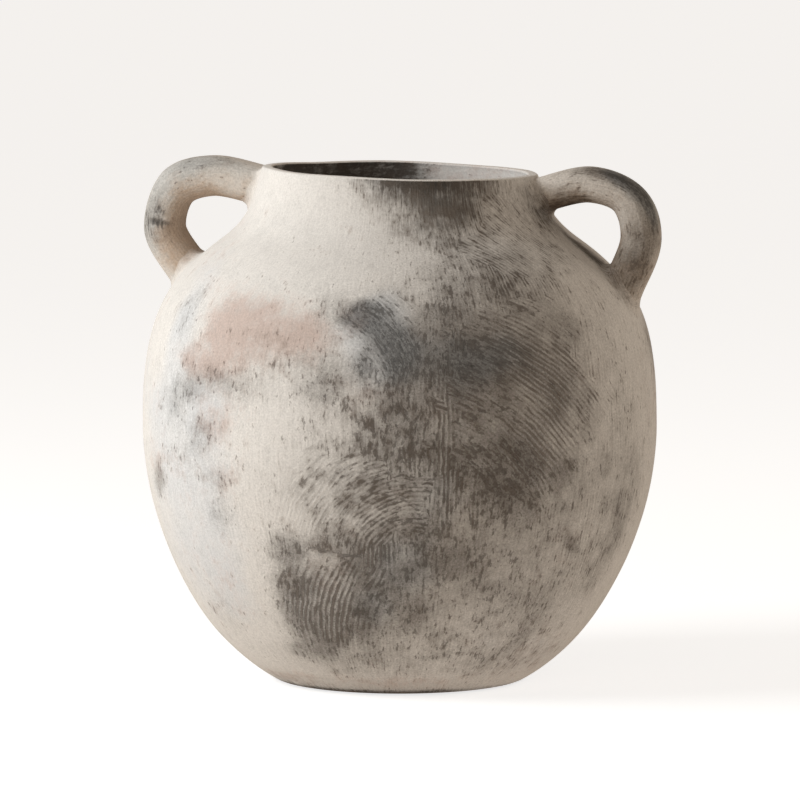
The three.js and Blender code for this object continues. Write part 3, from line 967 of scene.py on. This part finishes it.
# Where smoke has darkened a handle, and painted shade: under the right handle's bar near the neck and where
# it meets the neck, and in the crease where each handle meets the shoulder.
smoke_and_shade_handle_places = {
    "right": [(0.13, -165, 0.22, 66, 0.8), (0.02, -110, 0.06, 60, 0.6), (0.26, -165, 0.12, 50, 0.5),
              (0.42, -34, 0.08, 12, 0.6), (0.54, -20, 0.08, 10, 0.5), (0.97, 180, 0.08, 80, 0.7)],
    "left": [(0.655, 95, 0.019, 28, 1.0), (0.61, 90, 0.02, 8, 0.7), (0.98, 180, 0.06, 70, 0.5)],
}
cool_handle_places = {
    "right": [(0.48, -20, 0.16, 50, 0.9)],
    "left": [(0.6, 60, 0.2, 50, 0.7), (0.35, 50, 0.3, 40, 0.6)],
}
# How much of the wash is left on a handle outside those places, and how plainly its bristles show.
handle_wash = 0.82
handle_combing = 0.45


def covered_handle(places, along, angle):
    clear = 1.0
    for middle_along, middle_angle, half_length, half_angle, strength in places:
        aside = (angle - math.radians(middle_angle) + math.pi) % math.tau - math.pi
        far = ((along - middle_along) / half_length) ** 2 + (aside / math.radians(half_angle)) ** 2
        clear = clear * (1 - strength / (1 + far ** 2))
    return 1 - clear


def handle_coats(side, along, angle):
    angle = np.arctan2(np.sin(angle), np.cos(angle))
    return {
        "bare": 1 - (1 - covered_handle(worn_handle_places[side], along, angle)) * handle_wash,
        "blush": covered_handle(browned_handle_places[side], along, angle),
        "soot": covered_handle(smoke_and_shade_handle_places[side], along, angle),
        "cool": covered_handle(cool_handle_places[side], along, angle),
        "sweep": np.abs(angle) * handle_width / 2,
        "swept": 1 + 0 * along,
        "combed": handle_combing + 0 * along,
    }


def build_handle(side):
    line = handle_lines[side]
    angle = np.linspace(0, math.tau, handle_sides, endpoint=False)
    start = meeting_place(line, angle, 0, 0, -sunk_in_wall)
    end = meeting_place(line, angle, 1, 0, -sunk_in_wall)
    share = np.linspace(0, 1, handle_steps + 1)[:, None]
    along = start + (end - start) * share
    angles = angle + 0 * share
    rings = handle_skin(line, along, angles)
    caps = [rings[0].mean(axis=0), rings[-1].mean(axis=0)]
    points = turned_to(np.vstack([rings.reshape(-1, 3), caps]), handle_turns[side])
    faces = tube_faces(len(rings), handle_sides, closed=False)
    last = (len(rings) - 1) * handle_sides
    neck_cap, shoulder_cap = len(points) - 2, len(points) - 1
    for edge in range(handle_sides):
        beside = (edge + 1) % handle_sides
        faces.append((neck_cap, beside, edge))
        faces.append((shoulder_cap, last + edge, last + beside))
    shape = new_shape(f"handle_{side} shape", points, faces)
    caps_too = [np.append(values.ravel(), [0, 1]) for values in (along, angles)]
    paint(shape.data, on_handle=np.ones(len(points)), **handle_coats(side, *caps_too))
    return worked_piece(f"handle_{side}_pull", shape, handle_clay)


for side in handle_lines:
    handle = build_handle(side)
    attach(handle, "root")
    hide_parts(f"handle_{side}")


# Rolls of clay
# A roll of soft clay is pressed into the corner all round each end of each handle and wiped hollow
# with a finger, so that the handle grows out of the pot. It carries the colours of both.
roll_reach = 0.008
roll_sink = 0.0002
roll_root = 0.0018
roll_least_reach = 0.0003
roll_below_lip = 0.0003
roll_near_end = 0.66
roll_pull = 1.9
# The thumb leaves a roll wider and narrower in turns, by these shares of its reach.
wide_thumbing = 0.12
fine_thumbing = 0.08
# A roll that climbs towards the lip by more than this slope is kept short of it.
least_rise = 0.05
roll_sides = 96
roll_steps = 16


def build_roll(side, end, name):
    line = handle_lines[side]
    angle = np.linspace(0, math.tau, roll_sides, endpoint=False)
    root = meeting_place(line, angle, end, -roll_sink, -roll_sink)
    corner = handle_skin(line, root, angle, -roll_sink)
    flat_turn = np.arctan2(corner[:, 1], corner[:, 0])
    pot_normal = np.stack([np.cos(flat_turn), np.sin(flat_turn), -slope_at(corner[:, 2])], -1)
    pot_normal /= np.linalg.norm(pot_normal, axis=1, keepdims=True)
    middle_out, middle_height = point_along(line, root)
    away = corner - np.stack([middle_out, 0 * middle_out, middle_height], -1)
    away -= (away * pot_normal).sum(axis=1, keepdims=True) * pot_normal
    away /= np.linalg.norm(away, axis=1, keepdims=True)
    thumbed = 1 + wide_thumbing * np.sin(3 * angle + end) + fine_thumbing * np.sin(7 * angle + 2)
    rising = np.maximum(away[:, 2], least_rise)
    room = np.where(rising > least_rise, (lip_height - roll_below_lip - corner[:, 2]) / rising, 1)
    reach = np.clip(room, roll_least_reach, roll_reach * thumbed)
    stride = (0.5 - end) * 2 * reach / length_along(line)[-1]

    def on_pot(distance):
        moved = corner + away * distance[:, None]
        turn = np.arctan2(moved[:, 1], moved[:, 0])
        radius = skin_radius(moved[:, 2], -roll_sink)
        return np.stack([radius * np.cos(turn), radius * np.sin(turn), moved[:, 2]], -1)

    top = handle_skin(line, root + stride, angle, -roll_sink)
    nearly_top = handle_skin(line, root + stride * roll_near_end, angle, -roll_sink)
    bottom, nearly_bottom = on_pot(reach), on_pot(reach * roll_near_end)
    below_top = top + (nearly_top - top) * roll_pull
    above_bottom = bottom + (nearly_bottom - bottom) * roll_pull
    share = np.linspace(0, 1, roll_steps + 1)[:, None, None]
    weights = [(1 - share) ** 3, 3 * share * (1 - share) ** 2, 3 * share ** 2 * (1 - share), share ** 3]
    corners = (top, below_top, above_bottom, bottom)
    hollow = sum(weight * point for weight, point in zip(weights, corners))
    hidden = corner - (pot_normal + away) * roll_root
    slices = np.concatenate([hidden[None], hollow])
    points = turned_to(slices.reshape(-1, 3), handle_turns[side])
    faces = tube_faces(len(slices), roll_sides, closed=True)
    shape = new_shape(f"{name} shape", points, faces)
    onto_pot = np.concatenate([np.zeros((1, roll_sides)), share[:, :, 0] + 0 * angle]).ravel()
    from_handle = handle_coats(side, *(np.tile(values, len(slices)) for values in (root, angle)))
    from_pot = outside_coats(points)
    coats = {coat_name: from_handle[coat_name] * (1 - onto_pot) + from_pot[coat_name] * onto_pot
             for coat_name in from_pot}
    paint(shape.data, on_handle=1 - onto_pot, **coats)
    return worked_piece(name, shape, handle_clay)


for side in handle_lines:
    for end, where in enumerate(("upper", "lower")):
        roll = build_roll(side, end, f"roll_{side}_{where}")
        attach(roll, "root")
        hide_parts(f"lute_{side}_{where}")


# Studio
# The vase stands on a pale floor that runs out of sight. A soft window far round on the left lights
# it, the room fills in warmly from everywhere, and a weak warm light catches its right edge.
floor_radius = 30.0
floor_gap = 0.0002
camera_turn = math.radians(12)
camera_distance = 3.4
camera_height = 0.488
camera_aim = 0.1577
camera_lens = 272.1
room_light = (0.37, 0.315, 0.26)
window_turn = math.radians(-61)
window_distance = 1.6
window_height = 0.97
window_size = 0.9
window_power = 27.0
window_colour = (0.97, 1, 1.01)
edge_turn = math.radians(118)
edge_distance = 1.6
edge_height = 0.5
edge_size = 0.8
edge_power = 4.0
edge_colour = (1, 0.9, 0.78)
floor_sides = 64
floor_colour = (0.78, 0.72, 0.66, 1)
floor_glow = 0.08
floor_glow_colour = (1, 0.93, 0.86, 1)
sunlit_place = (0.11, -0.07, 0)
sunlit_reach = (0.14, 0.03)
sunlit_glow = 0.2
seen_floor_colour = (0.5, 0.5, 0.5, 1)
seen_floor_glow = 0.72


def round_the_pot(turn, distance, height):
    return distance * math.sin(turn), -distance * math.cos(turn), height


def aim(thing, height):
    """Turns a light or a camera to look at the pot's axis at a height."""
    way = thing.location.copy()
    way.z -= height
    thing.rotation_euler = way.to_track_quat("Z", "Y").to_euler()


def soft_light(name, turn, distance, height, size, power, colour):
    light = bpy.data.lights.new(name, "AREA")
    light.shape = "SQUARE"
    light.size = size
    light.energy = power
    light.color = colour
    lamp = bpy.data.objects.new(name, light)
    lamp.location = round_the_pot(turn, distance, height)
    aim(lamp, belly_height)
    bpy.context.scene.collection.objects.link(lamp)


def matt_and_glowing(tree, colour, glow_colour, glow):
    matt = add_node(tree, "ShaderNodeBsdfDiffuse", {"Color": colour})
    light = add_node(tree, "ShaderNodeEmission", {"Color": glow_colour, "Strength": glow})
    both = {0: Wire(matt.outputs[0]), 1: Wire(light.outputs[0])}
    return Wire(add_node(tree, "ShaderNodeAddShader", both).outputs[0])


def build_floor():
    """The camera sees an even, nearly white floor. The pot is lit by a warmer one that glows most
    under its right side."""
    turns = np.linspace(0, math.tau, floor_sides, endpoint=False)
    rim = [(floor_radius * math.cos(turn), floor_radius * math.sin(turn), -floor_gap) for turn in turns]
    floor = new_shape("floor", rim, [tuple(range(len(rim)))])
    material = bpy.data.materials.new("pale floor")
    material.use_nodes = True
    tree = material.node_tree
    tree.nodes.clear()
    place = Wire(add_node(tree, "ShaderNodeTexCoord").outputs["Object"])
    from_sun = vectors("DISTANCE", place, sunlit_place, output="Value")
    glow = floor_glow + eased(from_sun, *sunlit_reach) * sunlit_glow
    felt = matt_and_glowing(tree, floor_colour, floor_glow_colour, glow)
    seen = matt_and_glowing(tree, seen_floor_colour, (1, 1, 1, 1), seen_floor_glow)
    ray = add_node(tree, "ShaderNodeLightPath")
    sides = {0: Wire(ray.outputs["Is Camera Ray"]), 1: felt, 2: seen}
    choice = add_node(tree, "ShaderNodeMixShader", sides)
    add_node(tree, "ShaderNodeOutputMaterial", {"Surface": Wire(choice.outputs[0])})
    floor.data.materials.append(material)
    return floor


def build_room():
    room = bpy.data.worlds.new("room")
    room.use_nodes = True
    tree = room.node_tree
    tree.nodes.clear()
    light = add_node(tree, "ShaderNodeBackground", {"Color": (*room_light, 1), "Strength": 1.0})
    add_node(tree, "ShaderNodeOutputWorld", {"Surface": Wire(light.outputs[0])})
    bpy.context.scene.world = room


build_floor()
build_room()
soft_light(
    "window", window_turn, window_distance, window_height, window_size, window_power, window_colour)
soft_light("edge light", edge_turn, edge_distance, edge_height, edge_size, edge_power, edge_colour)

camera = bpy.data.objects.new("camera", bpy.data.cameras.new("camera"))
camera.data.lens = camera_lens
camera.data.sensor_width = 36
camera.data.clip_end = 100
camera.location = round_the_pot(camera_turn, camera_distance, camera_height)
aim(camera, camera_aim)
bpy.context.scene.collection.objects.link(camera)
bpy.context.scene.camera = camera
bpy.context.scene.view_settings.view_transform = "Standard"
